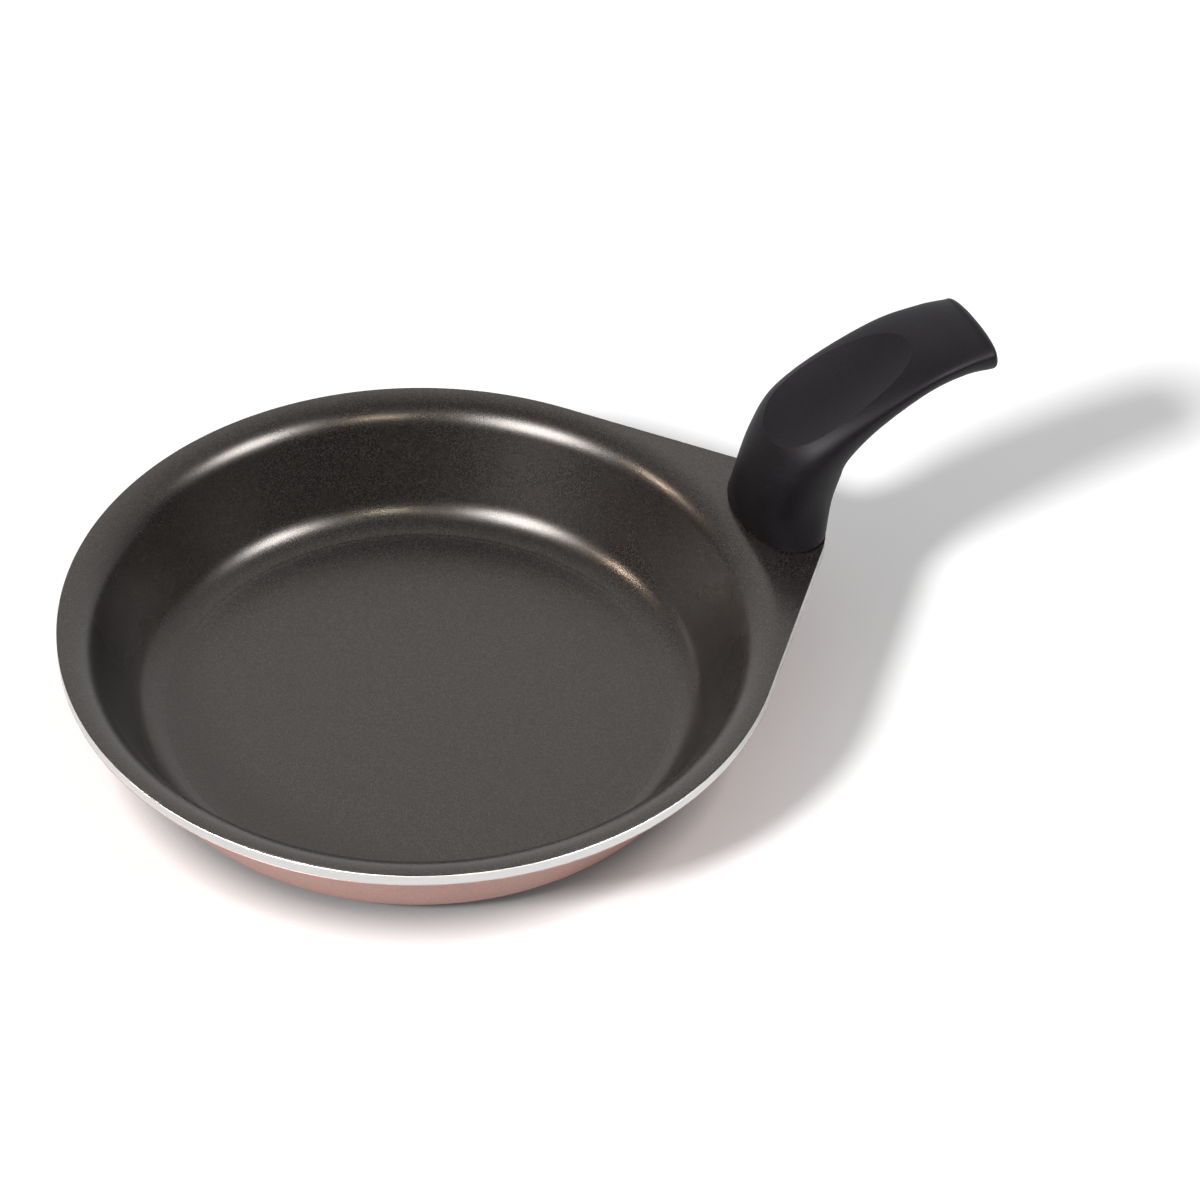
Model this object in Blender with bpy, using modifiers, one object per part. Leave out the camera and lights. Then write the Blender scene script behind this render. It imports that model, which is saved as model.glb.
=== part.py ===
"""Egg pan, 18 cm: a pressed aluminium bowl whose rim runs out into a tongue,
with one moulded handle standing on the tongue and screwed on from below.

Metres, +Z up. The origin is on the bowl's axis where the base meets the table,
and the handle points along +X.
"""
import math

import bmesh
import bpy
from mathutils import Matrix, Vector

# Pressed sheet: every height and radius is to the sheet's top face
RIM_RADIUS = 0.0900
RIM_HEIGHT = 0.0318
SHEET = 0.0024
BASE_RADIUS = 0.0616
BASE_BOSS = 0.0010
FLOOR_RADIUS = 0.0622
EDGE_FLAT = 0.0005

# Bends at the floor and at the lip: their radii as shares of the way out from floor to rim
FLOOR_BEND = 0.4137
LIP_BEND = 0.3417

# Tongue: two straight sides, tangent to the rim, with a round tip
TONGUE_LENGTH = 0.0296
TONGUE_TIP_RADIUS = 0.0280

# Skins on the sheet
COAT = 0.0003
ENAMEL = 0.0003
FIT = 0.0003

# Handle: its screw's distance outside the rim's circle, and the foot's edge
SCREW_SETBACK = 0.0110
FOOT_CHAMFER = 0.0005
SECTION_POWER = 2.1

# Handle stations, each at the section's widest line: reach past the screw's axis,
# height over the foot's underside, lean of the section from level in degrees,
# depth over the widest line, depth under it, half width
STATIONS = (
    (-0.0012, 0.0000, 0.0, 0.0106, 0.0106, 0.0180),
    (0.0002, 0.0083, 3.0, 0.0120, 0.0120, 0.0149),
    (0.0011, 0.0179, 20.0, 0.0086, 0.0141, 0.0150),
    (0.0057, 0.0261, 38.0, 0.0068, 0.0124, 0.0156),
    (0.0166, 0.0336, 60.0, 0.0044, 0.0098, 0.0153),
    (0.0321, 0.0398, 74.0, 0.0032, 0.0076, 0.0146),
    (0.0440, 0.0415, 84.0, 0.0031, 0.0077, 0.0136),
    (0.0518, 0.0412, 74.0, 0.0039, 0.0091, 0.0130),
)
END_ROUND = 0.0015
END_CROWN = 0.0017

# Thumb hollow: a straight round scoop along the top of the grip's bend
HOLLOW_REACH = 0.0173
HOLLOW_HEIGHT = 0.0353
HOLLOW_LEAN = 64.0
HOLLOW_RADIUS = 0.0390
HOLLOW_LENGTH = 0.0700

# Locating lug under the foot
LUG_SETBACK = 0.0031
LUG_LENGTH = 0.0030
LUG_WIDTH = 0.0120

# Fixing
SCREW_RADIUS = 0.0025
SCREW_REACH = 0.0080
SCREW_CHAMFER = 0.0006
HEAD_RADIUS = 0.0047
HEAD_HEIGHT = 0.0034
HEAD_CROWN = 0.0015
RECESS_SPAN = 0.0052
RECESS_SLOT = 0.0011
RECESS_DEPTH = 0.0018
SHEET_HOLE_RADIUS = 0.0031
INSERT_RADIUS = 0.0045
INSERT_HEIGHT = 0.0110
INSERT_GROOVE = 0.0005
SPRING_RADIUS = 0.0044
SPRING_THICKNESS = 0.0012
SPRING_SPLIT = 0.0010
FLAT_RADIUS = 0.0060
FLAT_THICKNESS = 0.0010

# Facets
ROUND_STEPS = 46
SIDE_STEPS = 4
TIP_STEPS = 6
FILLET_STEPS = 4
LIP_STEPS = 6
GRIP_POINTS = 40
HOLLOW_FACETS = 72
STATION_STEPS = 4
END_STEPS = 3
DOME_STEPS = 4
ROUND_FACETS = 24
CROWN_STEPS = 5
SHARP_ANGLE = 35.0

# Worked out from the sizes above
FLOOR_TOP = BASE_BOSS + SHEET
TONGUE_REACH = RIM_RADIUS + TONGUE_LENGTH
TONGUE_ANGLE = math.acos(RIM_RADIUS / TONGUE_REACH)
TIP_CENTRE = TONGUE_REACH - TONGUE_TIP_RADIUS / math.cos(TONGUE_ANGLE)
COAT_LOW = FIT
COAT_HIGH = FIT + COAT
ENAMEL_HIGH = -SHEET - FIT
ENAMEL_LOW = ENAMEL_HIGH - ENAMEL
SCREW_AXIS = RIM_RADIUS + SCREW_SETBACK
FOOT_HEIGHT = RIM_HEIGHT + COAT_HIGH + FIT

FLOOR_FILLET = FLOOR_BEND * (RIM_RADIUS - FLOOR_RADIUS)
LIP_RADIUS = LIP_BEND * (RIM_RADIUS - FLOOR_RADIUS)
FLOOR_ARC = Vector((FLOOR_RADIUS, FLOOR_TOP + FLOOR_FILLET))
LIP_ARC = Vector((RIM_RADIUS - EDGE_FLAT, RIM_HEIGHT - LIP_RADIUS))
ARC_SPAN = LIP_ARC - FLOOR_ARC
WALL_ANGLE = math.asin((FLOOR_FILLET + LIP_RADIUS) / ARC_SPAN.length) + math.atan2(ARC_SPAN.y, ARC_SPAN.x)


def new_collection(name):
    """Make a collection in the scene."""
    collection = bpy.data.collections.new(name)
    bpy.context.scene.collection.children.link(collection)
    return collection


def material(name, colour, roughness, metallic):
    """Make a plain Principled material."""
    made = bpy.data.materials.new(name)
    made.use_nodes = True
    shader = made.node_tree.nodes["Principled BSDF"]
    shader.inputs["Base Color"].default_value = (*colour, 1.0)
    shader.inputs["Roughness"].default_value = roughness
    shader.inputs["Metallic"].default_value = metallic
    return made


def object_from(name, bm, collection, finish=None):
    """Turn a bmesh into a named object with smooth shading and sharp corners."""
    bmesh.ops.recalc_face_normals(bm, faces=bm.faces)
    mesh = bpy.data.meshes.new(name)
    bm.to_mesh(mesh)
    bm.free()
    mesh.shade_smooth()
    mesh.set_sharp_from_angle(angle=math.radians(SHARP_ANGLE))
    made = bpy.data.objects.new(name, mesh)
    collection.objects.link(made)
    if finish:
        mesh.materials.append(finish)
    return made


def skin_rings(bm, rings, closed=False):
    """Join rings of vertices one to the next with faces."""
    pairs = list(zip(rings, rings[1:]))
    if closed:
        pairs.append((rings[-1], rings[0]))
    for low, high in pairs:
        for i in range(len(low)):
            j = (i + 1) % len(low)
            bm.faces.new((low[i], low[j], high[j], high[i]))


def fan(bm, ring, point):
    """Close a ring with triangles that meet at a point."""
    centre = bm.verts.new(point)
    for i in range(len(ring)):
        bm.faces.new((ring[i], ring[(i + 1) % len(ring)], centre))


def smooth_path(rows, steps):
    """Rows of numbers with steps - 1 rows laid smoothly between each two."""
    first = [2 * a - b for a, b in zip(rows[0], rows[1])]
    last = [2 * a - b for a, b in zip(rows[-1], rows[-2])]
    knots = [first, *rows, last]
    path = []
    for before, start, end, after in zip(knots, knots[1:], knots[2:], knots[3:]):
        for step in range(steps):
            t = step / steps
            path.append([
                0.5 * (2 * b + (c - a) * t + (2 * a - 5 * b + 4 * c - d) * t ** 2
                       + (3 * b - a - 3 * c + d) * t ** 3)
                for a, b, c, d in zip(before, start, end, after)
            ])
    path.append(list(rows[-1]))
    return path


def outline_points():
    """The sheet's edge seen from above: round rim, straight tongue sides, round tip."""
    points = []
    for i in range(-TIP_STEPS, TIP_STEPS + 1):
        turn = TONGUE_ANGLE * i / TIP_STEPS
        points.append(Vector((TIP_CENTRE, 0)) + TONGUE_TIP_RADIUS * Vector((math.cos(turn), math.sin(turn))))
    tangent = RIM_RADIUS * Vector((math.cos(TONGUE_ANGLE), math.sin(TONGUE_ANGLE)))
    side = [points[-1].lerp(tangent, i / SIDE_STEPS) for i in range(1, SIDE_STEPS)]
    points += side
    sweep = 2 * math.pi - 2 * TONGUE_ANGLE
    for i in range(ROUND_STEPS + 1):
        turn = TONGUE_ANGLE + sweep * i / ROUND_STEPS
        points.append(RIM_RADIUS * Vector((math.cos(turn), math.sin(turn))))
    points += [Vector((p.x, -p.y)) for p in reversed(side)]
    return points


def pressed_profile(offset, edge):
    """Radius and height of a face lying offset over the sheet's top face, out to the edge."""
    profile = []
    for i in range(FILLET_STEPS + 1):
        turn = WALL_ANGLE * i / FILLET_STEPS
        reach = FLOOR_FILLET - offset
        profile.append((FLOOR_ARC.x + reach * math.sin(turn), FLOOR_ARC.y - reach * math.cos(turn)))
    for i in range(LIP_STEPS + 1):
        turn = WALL_ANGLE * (1 - i / LIP_STEPS)
        reach = LIP_RADIUS + offset
        profile.append((LIP_ARC.x - reach * math.sin(turn), LIP_ARC.y + reach * math.cos(turn)))
    profile.append((edge, RIM_HEIGHT + offset))
    return profile


def pressed_rings(bm, offset):
    """Rings of vertices of one face of the pressing, from the floor's edge outwards."""
    columns = []
    for point in outline_points():
        edge = point.length
        across = point / edge
        columns.append([Vector((r * across.x, r * across.y, z)) for r, z in pressed_profile(offset, edge)])
    return [[bm.verts.new(column[k]) for column in columns] for k in range(len(columns[0]))]


def level_ring(bm, radius, height):
    """A round ring of vertices in step with the pressing's own."""
    spots = [point.normalized() * radius for point in outline_points()]
    return [bm.verts.new((p.x, p.y, height)) for p in spots]


def cut(target, cutter):
    """Take the cutter's space out of the target."""
    modifier = target.modifiers.new("cut_" + cutter.name, "BOOLEAN")
    modifier.operation = "DIFFERENCE"
    modifier.object = cutter
    modifier.solver = "EXACT"


def cylinder(bm, radius, low, high, x=0.0, segments=ROUND_FACETS):
    """An upright cylinder between two heights."""
    made = bmesh.ops.create_cone(
        bm, cap_ends=True, segments=segments, radius1=radius, radius2=radius, depth=high - low)
    bmesh.ops.translate(bm, verts=made["verts"], vec=(x, 0, (low + high) / 2))


def box(bm, size, centre):
    """A box of a given size about a centre."""
    made = bmesh.ops.create_cube(bm, size=1.0)
    bmesh.ops.scale(bm, verts=made["verts"], vec=size)
    bmesh.ops.translate(bm, verts=made["verts"], vec=centre)


def cutter_from(name, bm):
    """A hidden cutting tool."""
    made = object_from(name, bm, CUTTERS)
    made.hide_render = True
    made.display_type = "WIRE"
    return made


def cylinder_cutter(name, radius, low, high):
    """A cutter for a round hole on the fixing screw's axis."""
    bm = bmesh.new()
    cylinder(bm, radius, low, high, x=SCREW_AXIS)
    return cutter_from(name, bm)


def turned(name, outline, finish):
    """A turned piece on the screw's axis, from a closed outline of radius and height."""
    bm = bmesh.new()
    corners = [bm.verts.new((r, 0, z)) for r, z in outline]
    for i, corner in enumerate(corners):
        bm.edges.new((corner, corners[(i + 1) % len(corners)]))
    mesh = bpy.data.meshes.new(name)
    bm.to_mesh(mesh)
    bm.free()
    mesh.materials.append(finish)
    made = bpy.data.objects.new(name, mesh)
    PAN.objects.link(made)
    made.location.x = SCREW_AXIS
    screw = made.modifiers.new("turn", "SCREW")
    screw.steps = ROUND_FACETS
    screw.render_steps = ROUND_FACETS
    screw.use_merge_vertices = True
    screw.merge_threshold = 0.00001
    return made


def pan_body():
    """The pressed aluminium sheet, with the base boss and the holes in its tongue."""
    bm = bmesh.new()
    top = pressed_rings(bm, 0.0)
    bottom = pressed_rings(bm, -SHEET)
    boss_top = level_ring(bm, BASE_RADIUS, BASE_BOSS)
    boss_low = level_ring(bm, BASE_RADIUS, 0.0)
    skin_rings(bm, [*top, *reversed(bottom), boss_top, boss_low])
    fan(bm, top[0], (0, 0, FLOOR_TOP))
    fan(bm, boss_low, (0, 0, 0))
    return object_from("pan_body", bm, PAN, ALUMINIUM)


def nonstick_coating():
    """The coat over the sheet's whole top face."""
    bm = bmesh.new()
    high = pressed_rings(bm, COAT_HIGH)
    low = pressed_rings(bm, COAT_LOW)
    skin_rings(bm, [*high, *reversed(low)])
    fan(bm, high[0], (0, 0, FLOOR_TOP + COAT_HIGH))
    fan(bm, low[0], (0, 0, FLOOR_TOP + COAT_LOW))
    return object_from("nonstick_coating", bm, PAN, COATING)


def outer_enamel():
    """The paint under the sheet, from the base boss out to the edge."""
    bm = bmesh.new()
    high = pressed_rings(bm, ENAMEL_HIGH)
    low = pressed_rings(bm, ENAMEL_LOW)
    inner_high = level_ring(bm, BASE_RADIUS + FIT, FLOOR_TOP + ENAMEL_HIGH)
    inner_low = level_ring(bm, BASE_RADIUS + FIT, FLOOR_TOP + ENAMEL_LOW)
    skin_rings(bm, [inner_high, *high, *reversed(low), inner_low], closed=True)
    return object_from("outer_enamel", bm, PAN, ROSE)


def section_limit(turn, over, under, half_width):
    """How far a section reaches from its widest line: flat above it, deep below it."""
    depth = under if math.cos(turn) > 0 else over
    deep = abs(math.cos(turn) / depth) ** SECTION_POWER
    wide = abs(math.sin(turn) / half_width) ** SECTION_POWER
    return (deep + wide) ** (-1 / SECTION_POWER)


def grip_spot(station, push=0.0):
    """The middle of a section's widest line, moved outwards by push."""
    reach, height, lean = station[:3]
    lean = math.radians(lean)
    outwards = Vector((math.sin(lean), 0, math.cos(lean)))
    return Vector((SCREW_AXIS + reach, 0, FOOT_HEIGHT + height)) + outwards * push


def grip_ring(bm, station, inset=0.0, push=0.0, share=1.0):
    """One section of the handle: drawn in, moved outwards and shrunk to a share."""
    lean = math.radians(station[2])
    down = Vector((math.cos(lean), 0, -math.sin(lean)))
    centre = grip_spot(station, push)
    ring = []
    for i in range(GRIP_POINTS):
        turn = 2 * math.pi * i / GRIP_POINTS
        limit = share * (section_limit(turn, *station[3:]) - inset)
        spot = centre + down * (limit * math.cos(turn)) + Vector((0, limit * math.sin(turn), 0))
        ring.append(bm.verts.new(spot))
    return ring


def handle_grip():
    """The moulded handle, lofted from the wide oval foot to the domed end."""
    path = smooth_path(STATIONS, STATION_STEPS)
    bm = bmesh.new()
    rings = [grip_ring(bm, path[0], inset=FOOT_CHAMFER)]
    rings.append(grip_ring(bm, path[0], push=FOOT_CHAMFER))
    rings += [grip_ring(bm, station) for station in path[1:]]
    for i in range(1, END_STEPS + 1):
        turn = math.pi / 2 * i / END_STEPS
        rings.append(grip_ring(
            bm, path[-1], inset=END_ROUND * (1 - math.cos(turn)), push=END_ROUND * math.sin(turn)))
    for i in range(1, DOME_STEPS):
        share = 1 - i / DOME_STEPS
        push = END_ROUND + END_CROWN * (1 - share ** 2)
        rings.append(grip_ring(bm, path[-1], inset=END_ROUND, push=push, share=share))
    skin_rings(bm, rings)
    fan(bm, rings[0], grip_spot(path[0]))
    fan(bm, rings[-1], grip_spot(path[-1], END_ROUND + END_CROWN))
    return object_from("handle_grip", bm, PAN, PHENOLIC)


def hollow_cutter():
    """The round bar whose underside scoops out the thumb hollow."""
    bm = bmesh.new()
    half = HOLLOW_LENGTH / 2
    cylinder(bm, HOLLOW_RADIUS, -half, half, segments=HOLLOW_FACETS)
    bmesh.ops.translate(bm, verts=bm.verts, vec=(-HOLLOW_RADIUS, 0, 0))
    lean = Matrix.Rotation(math.radians(HOLLOW_LEAN), 4, "Y")
    spot = Matrix.Translation((SCREW_AXIS + HOLLOW_REACH, 0, FOOT_HEIGHT + HOLLOW_HEIGHT))
    bmesh.ops.transform(bm, matrix=spot @ lean, verts=bm.verts)
    return cutter_from("hollow", bm)


def lug():
    """The block under the foot that keeps the handle from turning on its screw."""
    bm = bmesh.new()
    low = RIM_HEIGHT + ENAMEL_LOW
    high = FOOT_HEIGHT + FOOT_CHAMFER + FIT
    box(bm, (LUG_LENGTH, LUG_WIDTH, high - low), (RIM_RADIUS + LUG_SETBACK, 0, (low + high) / 2))
    return cutter_from("lug", bm)


def threaded_insert():
    """Brass insert moulded into the foot: a bored barrel with a holding groove."""
    low = FOOT_HEIGHT
    bore = SCREW_RADIUS + FIT
    third = INSERT_HEIGHT / 3
    neck = INSERT_RADIUS - INSERT_GROOVE
    outline = (
        (bore, low + INSERT_HEIGHT),
        (INSERT_RADIUS, low + INSERT_HEIGHT),
        (INSERT_RADIUS, low + 2 * third),
        (neck, low + 2 * third),
        (neck, low + third),
        (INSERT_RADIUS, low + third),
        (INSERT_RADIUS, low),
        (bore, low),
    )
    return turned("threaded_insert", outline, BRASS)


def fixing_screw():
    """Machine screw from below: round head, cross recess, shank into the insert."""
    head_top = SPRING_LOW - FIT
    head_low = head_top - HEAD_HEIGHT
    tip = FOOT_HEIGHT + SCREW_REACH
    bm = bmesh.new()
    profile = [
        (SCREW_RADIUS - SCREW_CHAMFER, tip),
        (SCREW_RADIUS, tip - SCREW_CHAMFER),
        (SCREW_RADIUS, head_top),
        (HEAD_RADIUS, head_top),
    ]
    for i in range(CROWN_STEPS):
        turn = math.pi / 2 * i / CROWN_STEPS
        profile.append((HEAD_RADIUS * math.cos(turn), head_low + HEAD_CROWN * (1 - math.sin(turn))))
    turns = [2 * math.pi * i / ROUND_FACETS for i in range(ROUND_FACETS)]
    rings = []
    for radius, height in profile:
        spots = [(SCREW_AXIS + radius * math.cos(t), radius * math.sin(t), height) for t in turns]
        rings.append([bm.verts.new(spot) for spot in spots])
    skin_rings(bm, rings)
    fan(bm, rings[0], (SCREW_AXIS, 0, tip))
    fan(bm, rings[-1], (SCREW_AXIS, 0, head_low))
    made = object_from("fixing_screw", bm, PAN, STEEL)
    for name, size in (
        ("recess_across", (RECESS_SPAN, RECESS_SLOT, 2 * RECESS_DEPTH)),
        ("recess_along", (RECESS_SLOT, RECESS_SPAN, 2 * RECESS_DEPTH)),
    ):
        bm = bmesh.new()
        box(bm, size, (SCREW_AXIS, 0, head_low))
        cut(made, cutter_from(name, bm))
    return made


def ring_washer(name, radius, low, thickness):
    """A flat ring round the screw."""
    bore = SCREW_RADIUS + FIT
    high = low + thickness
    return turned(name, ((bore, high), (radius, high), (radius, low), (bore, low)), STEEL)


for old in list(bpy.data.objects):
    bpy.data.objects.remove(old)

PAN = new_collection("egg_pan")
CUTTERS = new_collection("cutters")

ALUMINIUM = material("bare_aluminium", (0.80, 0.80, 0.79), 0.30, 1.0)
COATING = material("dark_nonstick", (0.075, 0.068, 0.063), 0.42, 0.15)
ROSE = material("rose_enamel", (0.42, 0.24, 0.21), 0.35, 0.35)
PHENOLIC = material("black_phenolic", (0.022, 0.020, 0.023), 0.45, 0.0)
BRASS = material("brass", (0.72, 0.52, 0.22), 0.35, 1.0)
STEEL = material("zinc_steel", (0.62, 0.63, 0.64), 0.32, 1.0)

FLAT_LOW = RIM_HEIGHT + ENAMEL_LOW - FIT - FLAT_THICKNESS
SPRING_LOW = FLAT_LOW - FIT - SPRING_THICKNESS

body = pan_body()
coating = nonstick_coating()
enamel = outer_enamel()
grip = handle_grip()

under = RIM_HEIGHT + 2 * ENAMEL_LOW
above = FOOT_HEIGHT
screw_hole = cylinder_cutter("screw_hole", SHEET_HOLE_RADIUS, under, above)
slot_bm = bmesh.new()
box(slot_bm, (LUG_LENGTH + 2 * FIT, LUG_WIDTH + 2 * FIT, above - under),
    (RIM_RADIUS + LUG_SETBACK, 0, (above + under) / 2))
lug_slot = cutter_from("lug_slot", slot_bm)
for layer in (body, coating, enamel):
    cut(layer, screw_hole)
    cut(layer, lug_slot)

cut(grip, hollow_cutter())
join = grip.modifiers.new("join_lug", "BOOLEAN")
join.operation = "UNION"
join.object = lug()
join.solver = "EXACT"
cut(grip, cylinder_cutter(
    "insert_pocket", INSERT_RADIUS + FIT, FOOT_HEIGHT - SHEET, FOOT_HEIGHT + INSERT_HEIGHT + FIT))

threaded_insert()
fixing_screw()
flat_washer = ring_washer("flat_washer", FLAT_RADIUS, FLAT_LOW, FLAT_THICKNESS)
spring_washer = ring_washer("spring_washer", SPRING_RADIUS, SPRING_LOW, SPRING_THICKNESS)
split_bm = bmesh.new()
box(split_bm, (2 * SPRING_RADIUS, SPRING_SPLIT, 4 * SPRING_THICKNESS),
    (SCREW_AXIS + SPRING_RADIUS + SPRING_SPLIT, 0, SPRING_LOW))
cut(spring_washer, cutter_from("washer_split", split_bm))
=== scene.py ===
"""Egg pan, 18 cm: a pressed aluminium bowl with a dark flecked coat inside, satin rose paint
outside, a bare cut edge, and one black moulded handle standing on the tongue of its rim.
"""
import math

import bmesh
import bpy
from mathutils import Matrix, Quaternion, Vector


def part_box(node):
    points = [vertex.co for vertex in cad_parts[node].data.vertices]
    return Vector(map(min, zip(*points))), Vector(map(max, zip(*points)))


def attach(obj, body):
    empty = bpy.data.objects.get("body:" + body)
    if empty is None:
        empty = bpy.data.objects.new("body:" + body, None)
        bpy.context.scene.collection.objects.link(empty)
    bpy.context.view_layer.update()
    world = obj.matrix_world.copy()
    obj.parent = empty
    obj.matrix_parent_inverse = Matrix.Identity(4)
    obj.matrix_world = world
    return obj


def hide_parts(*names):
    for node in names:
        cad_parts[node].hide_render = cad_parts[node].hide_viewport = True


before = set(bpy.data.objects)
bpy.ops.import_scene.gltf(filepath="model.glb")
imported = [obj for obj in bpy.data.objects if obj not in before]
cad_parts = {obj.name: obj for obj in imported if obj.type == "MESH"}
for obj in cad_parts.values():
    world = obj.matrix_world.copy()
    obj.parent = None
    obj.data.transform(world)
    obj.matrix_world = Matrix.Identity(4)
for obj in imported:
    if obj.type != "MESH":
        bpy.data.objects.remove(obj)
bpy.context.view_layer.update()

# The pan itself: one disc of 2.4 mm aluminium sheet pressed into a bowl, whose flat rim runs
# out into a tongue for the handle. The press trims its edge, which stays bare, and a lathe
# faces the base flat and leaves fine rings in it.
RIM_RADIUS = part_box("pan_body")[1].y
RIM_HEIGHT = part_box("pan_body")[1].z
FLOOR_RADIUS = 0.0622
FLOOR_TOP = 0.0034
FLOOR_FILLET = 0.0115
LIP_RADIUS = 0.0095
LIP_FLAT = 0.0005
TONGUE_LENGTH = 0.0296
TONGUE_TIP_RADIUS = 0.0280
SHEET_TOP = 0.00029
SHEET_UNDER = -0.00269
EDGE_BREAK = 0.00012
BASE_RADIUS = 0.0616
BASE_BEVEL = 0.0004
GROOVE_PITCH = 0.0020
GROOVE_DEPTH = 0.00012
GROOVE_COUNT = 28
GROOVE_START = 0.0030
GROOVE_WIDTH = 0.70 * GROOVE_PITCH
HOLE_RADIUS = 0.0031
HOLE_FACETS = 48
PUNCH_DEPTH = 0.0080
PUNCH_DROP = 0.0015
SLOT_SIZE = (0.0036, 0.0126)
SLOT_X = 0.0931
SHARP_ANGLE = 32.0
ALUMINIUM_TONES = ((0.69, 0.69, 0.685), (0.77, 0.77, 0.765))
ALUMINIUM_ROUGHNESS = (0.30, 0.40)
MARK_RISE = 0.8

# How finely the pressing is divided: rings of the floor, steps of each bend, shares of the way
# out over the rim, and steps round the tip, each side of the tongue and the round rim
FLOOR_RINGS = (0.012, 0.030, 0.048, 0.0600)
FILLET_STEPS = 10
LIP_STEPS = 12
RIM_SHARES = (0.2, 0.4, 0.6, 0.8, 1.0)
TIP_STEPS = 36
SIDE_STEPS = 24
ROUND_STEPS = 216

QUARTER = math.pi / 2
FULL_TURN = 2 * math.pi
TONGUE_REACH = RIM_RADIUS + TONGUE_LENGTH
TONGUE_ANGLE = math.acos(RIM_RADIUS / TONGUE_REACH)
TIP_CENTRE = TONGUE_REACH - TONGUE_TIP_RADIUS / math.cos(TONGUE_ANGLE)
TIP_ANGLE = math.atan2(
    TONGUE_TIP_RADIUS * math.sin(TONGUE_ANGLE),
    TIP_CENTRE + TONGUE_TIP_RADIUS * math.cos(TONGUE_ANGLE))
FLOOR_ARC = Vector((FLOOR_RADIUS, FLOOR_TOP + FLOOR_FILLET))
LIP_ARC = Vector((RIM_RADIUS - LIP_FLAT, RIM_HEIGHT - LIP_RADIUS))
ARC_SPAN = LIP_ARC - FLOOR_ARC
WALL_ANGLE = math.asin((FLOOR_FILLET + LIP_RADIUS) / ARC_SPAN.length)
WALL_ANGLE += math.atan2(ARC_SPAN.y, ARC_SPAN.x)
SCREW_X = sum(corner.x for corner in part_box("fixing_screw")) / 2


def spread(start, end, steps):
    """Evenly spaced numbers from start up to, but not with, end."""
    return [start + (end - start) * i / steps for i in range(steps)]


TURNS = (
    spread(-TIP_ANGLE, TIP_ANGLE, TIP_STEPS)
    + spread(TIP_ANGLE, TONGUE_ANGLE, SIDE_STEPS)
    + spread(TONGUE_ANGLE, FULL_TURN - TONGUE_ANGLE, ROUND_STEPS)
    + spread(FULL_TURN - TONGUE_ANGLE, FULL_TURN - TIP_ANGLE, SIDE_STEPS)
)


def edge_reach(turn):
    """How far out the cut edge is: round rim, straight side of the tongue or its round tip."""
    off = abs(math.remainder(turn, FULL_TURN))
    if off >= TONGUE_ANGLE:
        return RIM_RADIUS
    if off >= TIP_ANGLE:
        return RIM_RADIUS / math.cos(TONGUE_ANGLE - off)
    across = TIP_CENTRE * math.sin(off)
    return TIP_CENTRE * math.cos(off) + math.sqrt(TONGUE_TIP_RADIUS ** 2 - across ** 2)


def sheet_ring(bm, height, reach, share=0.0, back=0.0):
    """A ring of the pressing: round, or a share of the way from that round out to the edge."""
    ring = []
    for turn in TURNS:
        out = reach + share * (edge_reach(turn) - back - reach)
        ring.append(bm.verts.new((out * math.cos(turn), out * math.sin(turn), height)))
    return ring


def pressed_rings(bm, offset, edge_back, floor_rings=FLOOR_RINGS):
    """Rings of one face of the pressing: floor, floor's bend, wall, lip and flat rim."""
    rings = [sheet_ring(bm, FLOOR_TOP + offset, reach) for reach in floor_rings]
    radius = FLOOR_FILLET - offset
    for i in range(FILLET_STEPS + 1):
        turn = WALL_ANGLE * i / FILLET_STEPS
        height = FLOOR_ARC.y - radius * math.cos(turn)
        rings.append(sheet_ring(bm, height, FLOOR_ARC.x + radius * math.sin(turn)))
    radius = LIP_RADIUS + offset
    for i in range(LIP_STEPS + 1):
        turn = WALL_ANGLE * (1 - i / LIP_STEPS)
        height = LIP_ARC.y + radius * math.cos(turn)
        rings.append(sheet_ring(bm, height, LIP_ARC.x - radius * math.sin(turn)))
    for share in RIM_SHARES:
        rings.append(sheet_ring(bm, RIM_HEIGHT + offset, LIP_ARC.x, share, edge_back))
    return rings


def skin(bm, rings, closed=False):
    """Join rings of vertices one to the next with faces."""
    pairs = list(zip(rings, rings[1:]))
    if closed:
        pairs.append((rings[-1], rings[0]))
    for near, far in pairs:
        for i in range(len(near)):
            j = (i + 1) % len(near)
            bm.faces.new((near[i], near[j], far[j], far[i]))


def fan(bm, ring, point):
    """Close a ring with triangles that meet at a point."""
    centre = bm.verts.new(point)
    for i in range(len(ring)):
        bm.faces.new((ring[i], ring[(i + 1) % len(ring)], centre))


def smooth_faces(mesh):
    """Shade a mesh smooth but for its real corners."""
    mesh.shade_smooth()
    mesh.set_sharp_from_angle(angle=math.radians(SHARP_ANGLE))


def piece_from(name, bm):
    """Turn a bmesh into an object of the scene."""
    bmesh.ops.recalc_face_normals(bm, faces=bm.faces)
    mesh = bpy.data.meshes.new(name)
    bm.to_mesh(mesh)
    bm.free()
    smooth_faces(mesh)
    made = bpy.data.objects.new(name, mesh)
    bpy.context.scene.collection.objects.link(made)
    return made


def machine(piece, tool, operation="DIFFERENCE"):
    """Cut a tool's shape out of a piece, or join it on, and put the tool away."""
    modifier = piece.modifiers.new("tool", "BOOLEAN")
    modifier.operation = operation
    modifier.object = tool
    modifier.solver = "EXACT"
    worked = piece.evaluated_get(bpy.context.evaluated_depsgraph_get())
    shaped = bpy.data.meshes.new_from_object(worked)
    piece.modifiers.clear()
    plain = piece.data
    piece.data = shaped
    bpy.data.meshes.remove(plain)
    bpy.data.objects.remove(tool)
    smooth_faces(shaped)


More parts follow.
